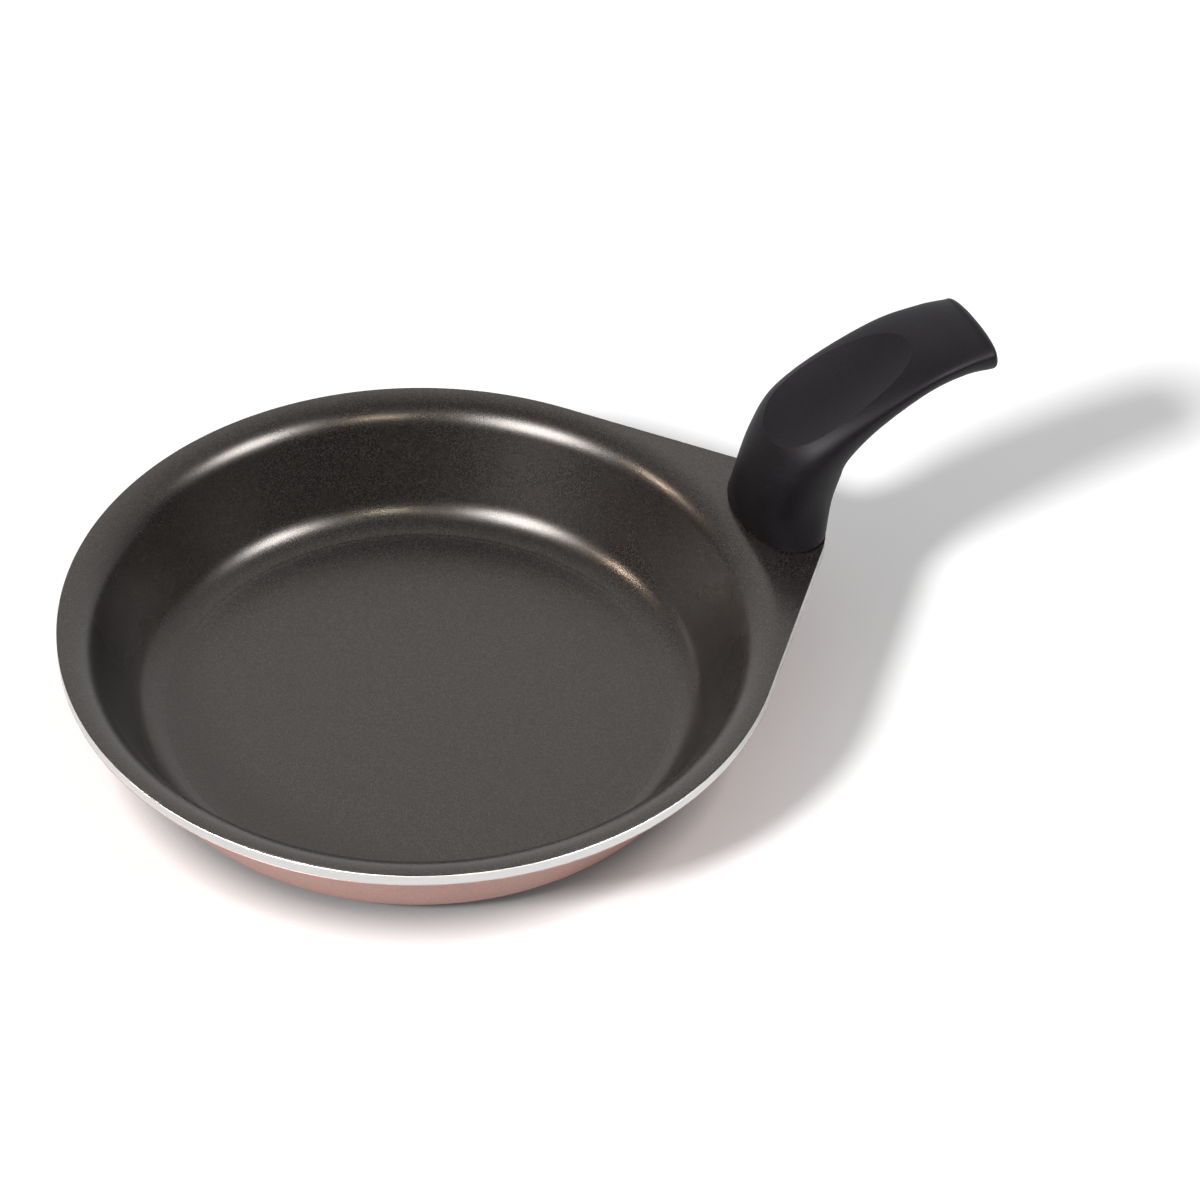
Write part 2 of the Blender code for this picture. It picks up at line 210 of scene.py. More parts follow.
def block(bm, size, centre):
    """A box of a given size about a centre."""
    made = bmesh.ops.create_cube(bm, size=1.0)
    bmesh.ops.scale(bm, verts=made["verts"], vec=size)
    bmesh.ops.translate(bm, verts=made["verts"], vec=centre)


def round_bar(bm, radius, length, facets, centre):
    """An upright round bar of a given size about a centre."""
    made = bmesh.ops.create_cone(
        bm, cap_ends=True, segments=facets, radius1=radius, radius2=radius, depth=length)
    bmesh.ops.translate(bm, verts=made["verts"], vec=centre)


def tongue_punch():
    """The punch for the screw's hole and the slot of the handle's lug."""
    bm = bmesh.new()
    middle = RIM_HEIGHT - PUNCH_DROP
    round_bar(bm, HOLE_RADIUS, PUNCH_DEPTH, HOLE_FACETS, (SCREW_X, 0, middle))
    block(bm, (*SLOT_SIZE, PUNCH_DEPTH), (SLOT_X, 0, middle))
    return piece_from("punch", bm)


def turned_base(bm):
    """The faced base from its bevel inwards: flat lands with shallow grooves between them."""
    rings = [
        sheet_ring(bm, FLOOR_TOP + SHEET_UNDER, BASE_RADIUS),
        sheet_ring(bm, BASE_BEVEL, BASE_RADIUS),
        sheet_ring(bm, 0.0, BASE_RADIUS - BASE_BEVEL),
    ]
    for i in range(GROOVE_COUNT):
        reach = BASE_RADIUS - GROOVE_START - i * GROOVE_PITCH
        rings.append(sheet_ring(bm, 0.0, reach))
        rings.append(sheet_ring(bm, GROOVE_DEPTH, reach - GROOVE_WIDTH / 2))
        rings.append(sheet_ring(bm, 0.0, reach - GROOVE_WIDTH))
    return rings


bm = bmesh.new()
top = pressed_rings(bm, SHEET_TOP, EDGE_BREAK)
under = pressed_rings(bm, SHEET_UNDER, EDGE_BREAK, floor_rings=())
rim = [
    sheet_ring(bm, RIM_HEIGHT + SHEET_TOP - EDGE_BREAK, LIP_ARC.x, 1.0),
    sheet_ring(bm, RIM_HEIGHT + SHEET_UNDER + EDGE_BREAK, LIP_ARC.x, 1.0),
]
base = turned_base(bm)
skin(bm, [*top, *rim, *reversed(under), *base])
fan(bm, top[0], (0, 0, FLOOR_TOP + SHEET_TOP))
fan(bm, base[-1], (0, 0, 0))
sheet = piece_from("aluminium_sheet", bm)
machine(sheet, tongue_punch())


def node(tree, kind, inputs=None, **settings):
    """Add a shader node, set its options, and fill or link its inputs."""
    made = tree.nodes.new("ShaderNode" + kind)
    for name, value in settings.items():
        setattr(made, name, value)
    for name, value in (inputs or {}).items():
        if isinstance(value, bpy.types.NodeSocket):
            tree.links.new(value, made.inputs[name])
        else:
            made.inputs[name].default_value = value
    return made


def maths(tree, operation, *values):
    """Add a Math node and give its result."""
    return node(tree, "Math", dict(enumerate(values)), operation=operation).outputs[0]


def blend_colour(tree, share, low, high):
    """Mix two colours by a share from 0 to 1."""
    inputs = {"Factor": share, 6: (*low, 1.0), 7: (*high, 1.0)}
    return node(tree, "Mix", inputs, data_type="RGBA").outputs[2]


def between(tree, share, low, high):
    """Lay a share from 0 to 1 over a range of values."""
    return node(tree, "MapRange", {"Value": share, "To Min": low, "To Max": high}).outputs[0]


def new_effect(name, inputs, outputs):
    """Start a shader node group with named numbers in and out."""
    tree = bpy.data.node_groups.new(name, "ShaderNodeTree")
    for label, value in inputs.items():
        socket = tree.interface.new_socket(label, in_out="INPUT", socket_type="NodeSocketFloat")
        socket.default_value = value
    for label in outputs:
        tree.interface.new_socket(label, in_out="OUTPUT", socket_type="NodeSocketFloat")
    return tree, tree.nodes.new("NodeGroupInput"), tree.nodes.new("NodeGroupOutput")


def effect(tree, group, **values):
    """Place an effect in a material with its own values."""
    made = tree.nodes.new("ShaderNodeGroup")
    made.node_tree = group
    for name, value in values.items():
        made.inputs[name.replace("_", " ")].default_value = value
    return made


def new_material(name, values):
    """Make a Principled material with plain values on its shader."""
    made = bpy.data.materials.new(name)
    made.use_nodes = True
    shader = made.node_tree.nodes["Principled BSDF"]
    for label, value in values.items():
        shader.inputs[label].default_value = value
    return made, made.node_tree, shader


def bump(tree, shader, height, distance):
    """Lay a height over a shader's surface, in metres."""
    made = node(tree, "Bump", {"Height": height, "Distance": distance})
    tree.links.new(made.outputs[0], shader.inputs["Normal"])


def turning_marks():
    """Fine uneven rings that a lathe or a trimming tool leaves round an axis."""
    tree, given, out = new_effect(
        "turning_marks", {"Axis X": 0.0, "Pitch": 0.0004}, ("Height", "Streaks"))
    spot = node(tree, "SeparateXYZ", {0: node(tree, "TexCoord").outputs["Object"]})
    across = maths(tree, "SUBTRACT", spot.outputs["X"], given.outputs["Axis X"])
    square = maths(tree, "MULTIPLY", across, across)
    square = maths(tree, "MULTIPLY_ADD", spot.outputs["Y"], spot.outputs["Y"], square)
    rise = maths(tree, "MULTIPLY", spot.outputs["Z"], MARK_RISE)
    reach = maths(tree, "ADD", maths(tree, "SQRT", square), rise)
    lines = maths(tree, "DIVIDE", reach, given.outputs["Pitch"])
    fine = node(tree, "TexNoise", {"W": lines, "Scale": 1.0, "Detail": 2.0}, noise_dimensions="1D")
    broad = node(tree, "TexNoise", {"W": lines, "Scale": 0.12, "Detail": 1.0}, noise_dimensions="1D")
    tree.links.new(fine.outputs[0], out.inputs["Height"])
    tree.links.new(maths(tree, "MULTIPLY", fine.outputs[0], broad.outputs[0]), out.inputs["Streaks"])
    return tree


def handling_haze():
    """Broad soft patches where a surface has been wiped or touched."""
    tree, given, out = new_effect("handling_haze", {"Patch Size": 0.020}, ("Haze",))
    place = node(tree, "TexCoord").outputs["Object"]
    scale = maths(tree, "DIVIDE", 1.0, given.outputs["Patch Size"])
    cloud = node(tree, "TexNoise", {"Vector": place, "Scale": scale, "Detail": 3.0, "Roughness": 0.55})
    soft = node(tree, "MapRange", {"Value": cloud.outputs[0], "From Min": 0.32, "From Max": 0.68})
    tree.links.new(soft.outputs[0], out.inputs["Haze"])
    return tree


TURNING = turning_marks()
HAZE = handling_haze()

bare_aluminium, tree, shader = new_material("bare_aluminium", {"Metallic": 1.0})
marks = effect(tree, TURNING, Pitch=0.00035)
haze = effect(tree, HAZE, Patch_Size=0.012)
colour = blend_colour(tree, marks.outputs["Streaks"], *ALUMINIUM_TONES)
tree.links.new(colour, shader.inputs["Base Color"])
roughness = between(tree, haze.outputs["Haze"], *ALUMINIUM_ROUGHNESS)
tree.links.new(roughness, shader.inputs["Roughness"])
bump(tree, shader, marks.outputs["Height"], distance=0.000010)
sheet.data.materials.append(bare_aluminium)
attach(sheet, "root")
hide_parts("pan_body")

# The coat over the whole inside, rim and tongue: dark non-stick sprayed on and baked. Mineral
# flecks make it glitter faintly, its spray grain is fine, and it rolls over at the cut edge.
COAT_UNDER = 0.0003
COAT_TOP = 0.0006
COAT_ROLL = 0.00014
ROLL_STEPS = 5
EDGE_CLEAR = 0.00002
SPUN_LINE = 0.0640
SPUN_PROFILE = ((-0.0003, 0.0), (-0.0001, 0.00005), (0.0001, 0.00005), (0.0003, 0.0))
RINGS_INSIDE_LINE = len(FLOOR_RINGS) + 2
COAT_TONES = ((0.0060, 0.0048, 0.0049), (0.0400, 0.0343, 0.0326))
COAT_ROUGHNESS = (0.265, 0.285)


def coat_roll(bm):
    """The coat's rounded end at the cut edge, from its top face down to the sheet."""
    rings = []
    for i in range(1, ROLL_STEPS + 1):
        turn = QUARTER * i / ROLL_STEPS
        back = COAT_ROLL * (1 - math.sin(turn)) + EDGE_CLEAR
        height = RIM_HEIGHT + COAT_UNDER + (COAT_TOP - COAT_UNDER) * math.cos(turn)
        rings.append(sheet_ring(bm, height, LIP_ARC.x, 1.0, back))
    return rings


def spun_line(bm):
    """The fine line that the press leaves in the coat's face, low on the floor's bend."""
    rings = []
    for out, depth in SPUN_PROFILE:
        across = SPUN_LINE + out - FLOOR_ARC.x
        drop = math.sqrt((FLOOR_FILLET - COAT_TOP) ** 2 - across ** 2)
        rings.append(sheet_ring(bm, FLOOR_ARC.y - drop - depth, SPUN_LINE + out))
    return rings


bm = bmesh.new()
top = pressed_rings(bm, COAT_TOP, COAT_ROLL)
under = pressed_rings(bm, COAT_UNDER, COAT_ROLL)
face = [*top[:RINGS_INSIDE_LINE], *spun_line(bm), *top[RINGS_INSIDE_LINE:]]
skin(bm, [*face, *coat_roll(bm), *reversed(under)])
fan(bm, top[0], (0, 0, FLOOR_TOP + COAT_TOP))
fan(bm, under[0], (0, 0, FLOOR_TOP + COAT_UNDER))
coat = piece_from("nonstick_coat", bm)
machine(coat, tongue_punch())


def mineral_flecks():
    """Tiny flecks in a paint, each one brighter or duller than the next."""
    tree, given, out = new_effect(
        "mineral_flecks", {"Fleck Size": 0.0003, "Share": 0.3}, ("Flecks", "Depth"))
    place = node(tree, "TexCoord").outputs["Object"]
    scale = maths(tree, "DIVIDE", 1.0, given.outputs["Fleck Size"])
    cells = node(tree, "TexVoronoi", {"Vector": place, "Scale": scale})
    tone = node(tree, "SeparateColor", {0: cells.outputs["Color"]})
    edge = maths(tree, "SUBTRACT", 1.0, given.outputs["Share"])
    bright = node(tree, "MapRange", {"Value": tone.outputs[0], "From Min": edge})
    tree.links.new(bright.outputs[0], out.inputs["Flecks"])
    tree.links.new(tone.outputs[1], out.inputs["Depth"])
    return tree


def spray_grain():
    """The fine uneven skin of a sprayed paint or of a moulding's etched tool."""
    tree, given, out = new_effect("spray_grain", {"Grain Size": 0.0004}, ("Height",))
    place = node(tree, "TexCoord").outputs["Object"]
    scale = maths(tree, "DIVIDE", 1.0, given.outputs["Grain Size"])
    grain = node(tree, "TexNoise", {"Vector": place, "Scale": scale, "Detail": 2.0, "Roughness": 0.6})
    tree.links.new(grain.outputs[0], out.inputs["Height"])
    return tree


FLECKS = mineral_flecks()
GRAIN = spray_grain()

dark_coat, tree, shader = new_material(
    "dark_nonstick_coat", {"IOR": 1.55, "Specular Tint": (1.0, 0.93, 0.87, 1.0)})
flecks = effect(tree, FLECKS, Fleck_Size=0.00023, Share=0.55)
haze = effect(tree, HAZE, Patch_Size=0.030)
grain = effect(tree, GRAIN, Grain_Size=0.00030)
colour = blend_colour(tree, flecks.outputs["Flecks"], *COAT_TONES)
tree.links.new(colour, shader.inputs["Base Color"])
roughness = between(tree, haze.outputs["Haze"], *COAT_ROUGHNESS)
tree.links.new(roughness, shader.inputs["Roughness"])
bump(tree, shader, grain.outputs["Height"], distance=0.000014)
coat.data.materials.append(dark_coat)
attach(coat, "root")
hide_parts("nonstick_coating")

# The outside: satin rose paint with fine metal powder in it, sprayed from the edge of the
# faced base up to the cut edge and baked, so only the edge and the base stay bare.
PAINT_TOP = -0.0027
PAINT_UNDER = -0.0030
PAINT_START = BASE_RADIUS + 0.0003
PAINT_ROLL = 0.00015
ROSE_TONES = ((0.385, 0.205, 0.173), (0.520, 0.313, 0.272))
ROSE_METALLIC = (0.12, 0.26)
ROSE_ROUGHNESS = (0.42, 0.48)

bm = bmesh.new()
top = pressed_rings(bm, PAINT_TOP, PAINT_ROLL, floor_rings=())
under = pressed_rings(bm, PAINT_UNDER, PAINT_ROLL, floor_rings=())
end = sheet_ring(bm, RIM_HEIGHT + PAINT_TOP - PAINT_ROLL, LIP_ARC.x, 1.0, EDGE_CLEAR)
start_top = sheet_ring(bm, FLOOR_TOP + PAINT_TOP, PAINT_START)
start_under = sheet_ring(bm, FLOOR_TOP + PAINT_UNDER, PAINT_START)
skin(bm, [start_top, *top, end, *reversed(under), start_under], closed=True)
paint = piece_from("rose_paint", bm)
machine(paint, tongue_punch())

rose_paint, tree, shader = new_material(
    "satin_rose_paint", {"Coat Weight": 0.15, "Coat Roughness": 0.25})
flecks = effect(tree, FLECKS, Fleck_Size=0.00018, Share=0.5)
haze = effect(tree, HAZE, Patch_Size=0.025)
grain = effect(tree, GRAIN, Grain_Size=0.0009)
colour = blend_colour(tree, flecks.outputs["Flecks"], *ROSE_TONES)
tree.links.new(colour, shader.inputs["Base Color"])
metallic = between(tree, flecks.outputs["Depth"], *ROSE_METALLIC)
tree.links.new(metallic, shader.inputs["Metallic"])
roughness = between(tree, haze.outputs["Haze"], *ROSE_ROUGHNESS)
tree.links.new(roughness, shader.inputs["Roughness"])
bump(tree, shader, grain.outputs["Height"], distance=0.000012)
paint.data.materials.append(rose_paint)
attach(paint, "root")
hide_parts("outer_enamel")

# The handle: one moulding of black phenolic that stands on the tongue as an oval foot and
# bends out into a grip, with a thumb hollow scooped across the bend. The tool's parting line
# runs along both flanks, and a lug under the foot keeps it from turning on its screw.
FOOT_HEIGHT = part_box("threaded_insert")[0].z
FOOT_SINK = 0.00028
FOOT_CHAMFER = 0.0005
SECTION_POWER = 2.1
GRIP_PITCH = 0.00045

# Each section at its widest line: reach past the screw's axis, height over the foot, lean in
# degrees, depth over the widest line, depth under it, half width
STATIONS = (
    (-0.0012, 0.0000, 0.0, 0.0106, 0.0106, 0.0180),
    (0.0002, 0.0083, 3.0, 0.0120, 0.0120, 0.0149),
    (0.0011, 0.0179, 20.0, 0.0086, 0.0141, 0.0150),
    (0.0057, 0.0261, 38.0, 0.0068, 0.0124, 0.0156),
    (0.0166, 0.0336, 60.0, 0.0044, 0.0098, 0.0153),
    (0.0321, 0.0398, 74.0, 0.0032, 0.0076, 0.0146),
    (0.0440, 0.0415, 84.0, 0.0031, 0.0077, 0.0136),
    (0.0518, 0.0411, 74.0, 0.0039, 0.0091, 0.0130),
)
DRAWN_IN = 0.00005
END_DOME = 0.0025
END_POWER = 2.5
END_STEPS = 20
LOWER_FACETS = 96
UPPER_FACETS = 104
PARTING_GAP = math.radians(0.3)
PARTING_STEP = 0.00012
HOLLOW_SPOT = (0.0173, 0.0353)
HOLLOW_LEAN = 64.0
HOLLOW_RADIUS = 0.0390
HOLLOW_LENGTH = 0.0700
HOLLOW_FACETS = 360
CREASE_SLACK = 0.00001
CREASE_FACING = 0.999
LUG_SIZE = (0.0030, 0.0120)
LUG_ROOT = 0.0010
LUG_BEVEL = 0.0004
POCKET_RADIUS = 0.0048
POCKET_DEPTH = 0.0113
POCKET_FACETS = 64
PHENOLIC_TONES = ((0.0028, 0.0020, 0.0028), (0.0100, 0.0079, 0.0098))
PHENOLIC_ROUGHNESS = (0.46, 0.51)

# The points of a section: the turn to each, and how far in it is set. The parting line is the
# step between its lower half, which is set in, and its upper half.
LOWER_END = QUARTER - PARTING_GAP
LOWER_TURNS = [(turn, PARTING_STEP) for turn in spread(-LOWER_END, LOWER_END, LOWER_FACETS)]
LOWER_TURNS.append((LOWER_END, PARTING_STEP))
UPPER_TURNS = [(turn, 0.0) for turn in spread(QUARTER, 3 * QUARTER, UPPER_FACETS)]
UPPER_TURNS.append((3 * QUARTER, 0.0))


def smooth_path(rows, pitch):
    """Rows of numbers with further rows laid smoothly between them, about a pitch apart."""
    first = [2 * a - b for a, b in zip(rows[0], rows[1])]
    last = [2 * a - b for a, b in zip(rows[-1], rows[-2])]
    knots = [first, *rows, last]
    path = []
    for before, start, end, after in zip(knots, knots[1:], knots[2:], knots[3:]):
        steps = round(math.dist(start[:2], end[:2]) / pitch)
        for step in range(steps):
            t = step / steps
            path.append([
                0.5 * (2 * b + (c - a) * t + (2 * a - 5 * b + 4 * c - d) * t ** 2
                       + (3 * b - a - 3 * c + d) * t ** 3)
                for a, b, c, d in zip(before, start, end, after)
            ])
    path.append(list(rows[-1]))
    return path


def grip_ring(bm, station, inset=0.0, push=0.0, scale=1.0):
    """One section of the handle, flat over its widest line and deep under it."""
    reach, height, lean, over, under, half_width = station
    lean = math.radians(lean)
    outwards = Vector((math.sin(lean), 0, math.cos(lean)))
    inner = Vector((math.cos(lean), 0, -math.sin(lean)))
    centre = Vector((SCREW_X + reach, 0, FOOT_HEIGHT + height)) + outwards * push
    ring = []
    for turn, step in LOWER_TURNS + UPPER_TURNS:
        depth = under if math.cos(turn) > 0 else over
        deep = abs(math.cos(turn) / depth) ** SECTION_POWER
        wide = abs(math.sin(turn) / half_width) ** SECTION_POWER
        limit = ((deep + wide) ** (-1 / SECTION_POWER) - DRAWN_IN - inset - step) * scale
        spot = centre + inner * (limit * math.cos(turn)) + Vector((0, limit * math.sin(turn), 0))
        ring.append(bm.verts.new(spot))
    return ring


HOLLOW_PLACE = Matrix.Translation((SCREW_X + HOLLOW_SPOT[0], 0, FOOT_HEIGHT + HOLLOW_SPOT[1]))
HOLLOW_PLACE = HOLLOW_PLACE @ Matrix.Rotation(math.radians(HOLLOW_LEAN), 4, "Y")


def hollow_bar():
    """The round bar whose underside scoops the thumb hollow out of the bend."""
    bm = bmesh.new()
    round_bar(bm, HOLLOW_RADIUS, HOLLOW_LENGTH, HOLLOW_FACETS, (-HOLLOW_RADIUS, 0, 0))
    bmesh.ops.transform(bm, matrix=HOLLOW_PLACE, verts=bm.verts)
    return piece_from("bar", bm)


def crisp_crease(mesh):
    """Keep the corner sharp where the thumb hollow's round face meets the grip."""
    bm = bmesh.new()
    bm.from_mesh(mesh)
    back = HOLLOW_PLACE.inverted()
    scooped = {}
    for face in bm.faces:
        spot = back @ face.calc_center_median()
        across = Vector((spot.x + HOLLOW_RADIUS, spot.y, 0))
        inwards = -(back.to_3x3() @ face.normal).dot(across.normalized())
        off = abs(across.length - HOLLOW_RADIUS)
        scooped[face] = off < CREASE_SLACK and inwards > CREASE_FACING
    for edge in bm.edges:
        if len({scooped[face] for face in edge.link_faces}) == 2:
            edge.smooth = False
    bm.to_mesh(mesh)
    bm.free()


path = smooth_path(STATIONS, GRIP_PITCH)
bm = bmesh.new()
rings = [
    grip_ring(bm, path[0], inset=FOOT_CHAMFER, push=-FOOT_SINK),
    grip_ring(bm, path[0], push=FOOT_CHAMFER - FOOT_SINK),
]
rings += [grip_ring(bm, station) for station in path[2:]]
for i in range(1, END_STEPS):
    share = math.cos(QUARTER * i / END_STEPS)
    push = END_DOME * (1 - share ** END_POWER) ** (1 / END_POWER)
    rings.append(grip_ring(bm, path[-1], push=push, scale=share))
skin(bm, rings)
fan(bm, rings[0], (SCREW_X + STATIONS[0][0], 0, FOOT_HEIGHT - FOOT_SINK))
tip_lean = math.radians(STATIONS[-1][2])
tip = Vector((SCREW_X + STATIONS[-1][0], 0, FOOT_HEIGHT + STATIONS[-1][1]))
fan(bm, rings[-1], tip + END_DOME * Vector((math.sin(tip_lean), 0, math.cos(tip_lean))))
grip = piece_from("handle", bm)

bm = bmesh.new()
low = RIM_HEIGHT + PAINT_UNDER
high = FOOT_HEIGHT + LUG_ROOT
block(bm, (*LUG_SIZE, high - low), (SLOT_X, 0, (high + low) / 2))
edges = [e for e in bm.edges if any(v.co.z < RIM_HEIGHT for v in e.verts)]
bmesh.ops.bevel(bm, geom=edges, offset=LUG_BEVEL, segments=3, affect="EDGES", profile=0.5)
machine(grip, piece_from("lug", bm), "UNION")

bm = bmesh.new()
round_bar(bm, POCKET_RADIUS, 2 * POCKET_DEPTH, POCKET_FACETS, (SCREW_X, 0, FOOT_HEIGHT))
machine(grip, piece_from("pocket", bm))
machine(grip, hollow_bar())
crisp_crease(grip.data)

black_phenolic, tree, shader = new_material("black_phenolic", {
    "IOR": 1.45, "Specular IOR Level": 0.235, "Specular Tint": (0.95, 0.91, 1.0, 1.0)})
haze = effect(tree, HAZE, Patch_Size=0.018)
grain = effect(tree, GRAIN, Grain_Size=0.00030)
flecks = effect(tree, FLECKS, Fleck_Size=0.00022, Share=0.25)
colour = blend_colour(tree, flecks.outputs["Flecks"], *PHENOLIC_TONES)
tree.links.new(colour, shader.inputs["Base Color"])
roughness = between(tree, haze.outputs["Haze"], *PHENOLIC_ROUGHNESS)
tree.links.new(roughness, shader.inputs["Roughness"])
bump(tree, shader, grain.outputs["Height"], distance=0.000016)
grip.data.materials.append(black_phenolic)
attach(grip, "root")
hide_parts("handle_grip")

# The nut inside the foot: a turned brass insert with a groove that the phenolic is moulded
# into. The handle and the tongue hide it, so the frame's own solid stays.
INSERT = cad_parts["threaded_insert"]
BRASS_TONES = ((0.66, 0.46, 0.19), (0.78, 0.58, 0.27))
BRASS_ROUGHNESS = (0.26, 0.40)

brass, tree, shader = new_material("turned_brass", {"Metallic": 1.0})
marks = effect(tree, TURNING, Axis_X=SCREW_X, Pitch=0.0002)
haze = effect(tree, HAZE, Patch_Size=0.004)
colour = blend_colour(tree, haze.outputs["Haze"], *BRASS_TONES)
tree.links.new(colour, shader.inputs["Base Color"])
roughness = between(tree, marks.outputs["Streaks"], *BRASS_ROUGHNESS)
tree.links.new(roughness, shader.inputs["Roughness"])
bump(tree, shader, marks.outputs["Height"], distance=0.000008)
INSERT.data.materials.clear()
INSERT.data.materials.append(brass)

# The fixing under the tongue: an M5 pan-head screw with a cross recess, a split spring washer
# and a plain washer, all zinc-plated steel. They pull the foot down on the tongue.
WASHER_BORE = 0.0028
WASHER_SEAT = 0.00028
HEAD_HEIGHT = 0.0034
HEAD_CROWN = 0.0015
SHANK_RADIUS = 0.0025
SHANK_CHAMFER = 0.0006
RECESS_SPAN = 0.0052
RECESS_SLOT = 0.0011
RECESS_DEPTH = 0.0018
RECESS_TAPER = 0.7
CROWN_STEPS = 12
SPLIT_WIDTH = 0.0010
SPRING_LIFT = 0.0003
SPRING_INSET = 0.0016
SPRING_STEPS = 60
CORNER = 0.00015
LATHE_FACETS = 64
ZINC_TONES = ((0.55, 0.57, 0.59), (0.70, 0.71, 0.70))
ZINC_ROUGHNESS = (0.28, 0.40)


def round_screw(radius, turn, height):
    """A place given by its radius, turn and height round the screw's axis."""
    return (SCREW_X + radius * math.cos(turn), radius * math.sin(turn), height)


def lathe(name, outline, closed=True):
    """Turn an outline of radius and height pairs round the screw's axis."""
    bm = bmesh.new()
    turns = spread(0.0, FULL_TURN, LATHE_FACETS)
    rings = []
    for radius, height in outline:
        rings.append([bm.verts.new(round_screw(radius, turn, height)) for turn in turns])
    skin(bm, rings, closed)
    if not closed:
        fan(bm, rings[0], (SCREW_X, 0, outline[0][1]))
        fan(bm, rings[-1], (SCREW_X, 0, outline[-1][1]))
    return piece_from(name, bm)


def washer_outline(bore, radius, low, high):
    """The section of a flat ring with its corners broken."""
    return [
        (bore, low + CORNER),
        (bore, high - CORNER),
        (bore + CORNER, high),
        (radius - CORNER, high),
        (radius, high - CORNER),
        (radius, low + CORNER),
        (radius - CORNER, low),
        (bore + CORNER, low),
    ]


def split_ring(name, bore, radius, low, high):
    """A spring washer: a bar bent round the screw, its ends a little apart and one thinner."""
    gap = SPLIT_WIDTH / radius
    bm = bmesh.new()
    rings = []
    for i in range(SPRING_STEPS + 1):
        turn = gap / 2 + (FULL_TURN - gap) * i / SPRING_STEPS
        top = high + SPRING_LIFT * (i / SPRING_STEPS - 1.0)
        section = washer_outline(bore, radius, low, top)
        rings.append([bm.verts.new(round_screw(reach, turn, height)) for reach, height in section])
    skin(bm, rings)
    bm.faces.new(rings[0])
    bm.faces.new(rings[-1])
    return piece_from(name, bm)


flat_low, flat_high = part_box("flat_washer")
spring_low, spring_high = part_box("spring_washer")
screw_low, screw_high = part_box("fixing_screw")
flat_radius = flat_high.x - SCREW_X
spring_radius = flat_radius - SPRING_INSET
head_radius = screw_high.x - SCREW_X
head_top = screw_low.z + HEAD_HEIGHT + WASHER_SEAT

flat_washer = lathe(
    "flat_washer_ring",
    washer_outline(WASHER_BORE, flat_radius, flat_low.z, flat_high.z + WASHER_SEAT))
spring_washer = split_ring(
    "split_washer_ring", WASHER_BORE, spring_radius, spring_low.z, spring_high.z + WASHER_SEAT)

outline = [
    (SHANK_RADIUS - SHANK_CHAMFER, screw_high.z),
    (SHANK_RADIUS, screw_high.z - SHANK_CHAMFER),
    (SHANK_RADIUS, head_top),
    (head_radius - CORNER, head_top),
    (head_radius, head_top - CORNER),
]
for turn in spread(0.0, QUARTER, CROWN_STEPS):
    crown = screw_low.z + HEAD_CROWN * (1 - math.sin(turn))
    outline.append((head_radius * math.cos(turn), crown))
screw = lathe("pan_head_screw", outline, closed=False)
for arm in ((RECESS_SPAN, RECESS_SLOT), (RECESS_SLOT, RECESS_SPAN)):
    bm = bmesh.new()
    block(bm, (*arm, 2 * RECESS_DEPTH), (SCREW_X, 0, screw_low.z))
    for vert in bm.verts:
        if vert.co.z > screw_low.z:
            vert.co.x = SCREW_X + (vert.co.x - SCREW_X) * RECESS_TAPER
            vert.co.y *= RECESS_TAPER
    machine(screw, piece_from("recess", bm))

zinc_steel, tree, shader = new_material("zinc_plated_steel", {"Metallic": 1.0})
marks = effect(tree, TURNING, Axis_X=SCREW_X, Pitch=0.00025)
haze = effect(tree, HAZE, Patch_Size=0.003)
colour = blend_colour(tree, haze.outputs["Haze"], *ZINC_TONES)
tree.links.new(colour, shader.inputs["Base Color"])
roughness = between(tree, haze.outputs["Haze"], *ZINC_ROUGHNESS)
tree.links.new(roughness, shader.inputs["Roughness"])
bump(tree, shader, marks.outputs["Height"], distance=0.000006)
for piece, replaced in (
    (screw, "fixing_screw"),
    (spring_washer, "spring_washer"),
    (flat_washer, "flat_washer"),
):
    piece.data.materials.append(zinc_steel)
    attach(piece, "root")
    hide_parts(replaced)

# The table under the pan: a smooth pale sheet that the shadows fall on, lifted to white for the
# camera, with a painted contact shadow that darkens its colour where the bowl nearly touches
# it. It is clear from underneath and right under the base, so that the base can be looked at.
TABLE_SIZE = 6.0
TABLE_DROP = 0.00005
TABLE_TONES = (0.945, 0.955)
TABLE_LIFT = 0.13
CLEAR_REACH = 0.001
# The painted contact shadow: how far out it reaches, where it starts and its darkest tone
PAINTED_SHADE_REACH = 0.010
PAINTED_SHADE_START = 0.2
PAINTED_SHADE_TONE = 0.26

bm = bmesh.new()
bmesh.ops.create_grid(bm, x_segments=4, y_segments=4, size=TABLE_SIZE / 2)
table = piece_from("table", bm)
table.location.z = -TABLE_DROP
pale_table, tree, shader = new_material("pale_table", {"Roughness": 0.9, "Specular IOR Level": 0.0})
haze = effect(tree, HAZE, Patch_Size=0.4)
# Painted shade: occlusion near the pan darkens the table's colour and its lift to the camera, a
# painted contact shadow on top of the shadows that the lamps cast
near = node(tree, "AmbientOcclusion", {"Distance": PAINTED_SHADE_REACH}, samples=8).outputs["AO"]
tone = node(tree, "MapRange", {
    "Value": near, "From Min": PAINTED_SHADE_START, "To Min": PAINTED_SHADE_TONE}).outputs[0]
pale = between(tree, haze.outputs["Haze"], *TABLE_TONES)
tree.links.new(maths(tree, "MULTIPLY", pale, tone), shader.inputs["Base Color"])
shader.inputs["Emission Color"].default_value = (1.0, 1.0, 1.0, 1.0)
rays = node(tree, "LightPath")
lift = maths(tree, "MULTIPLY", rays.outputs["Is Camera Ray"], TABLE_LIFT)
tree.links.new(maths(tree, "MULTIPLY", lift, tone), shader.inputs["Emission Strength"])
clear = node(tree, "BsdfTransparent")
